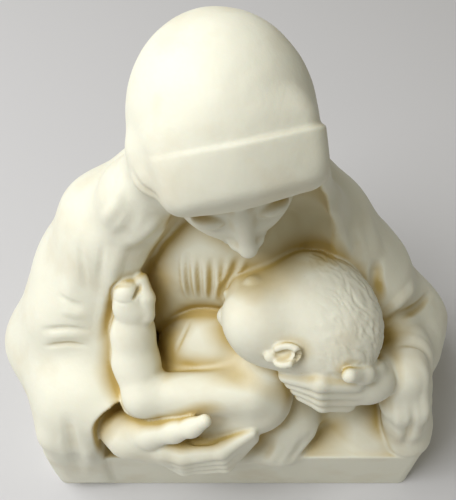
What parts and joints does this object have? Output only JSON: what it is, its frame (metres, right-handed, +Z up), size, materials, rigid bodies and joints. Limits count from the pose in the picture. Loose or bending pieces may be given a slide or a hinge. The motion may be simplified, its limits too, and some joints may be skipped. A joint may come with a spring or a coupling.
{
  "type": "madonna and child bust",
  "caption": "Half-length figure of a veiled mother bowing over the infant she holds in both arms, cast as one with a low oblong plinth.",
  "frame": {"origin": "middle of the plinth's underside", "axes": "+X towards the viewer's right, which is the mother's left, +Y towards the back, +Z up"},
  "size_m": [0.2684, 0.1659, 0.3047],
  "materials": {
    "bisque": "matte unglazed, faint yellowish patina in the hollows"
  },
  "bodies": {
    "root": {"madonna_and_child": "bisque"}
  },
  "joints": []
}
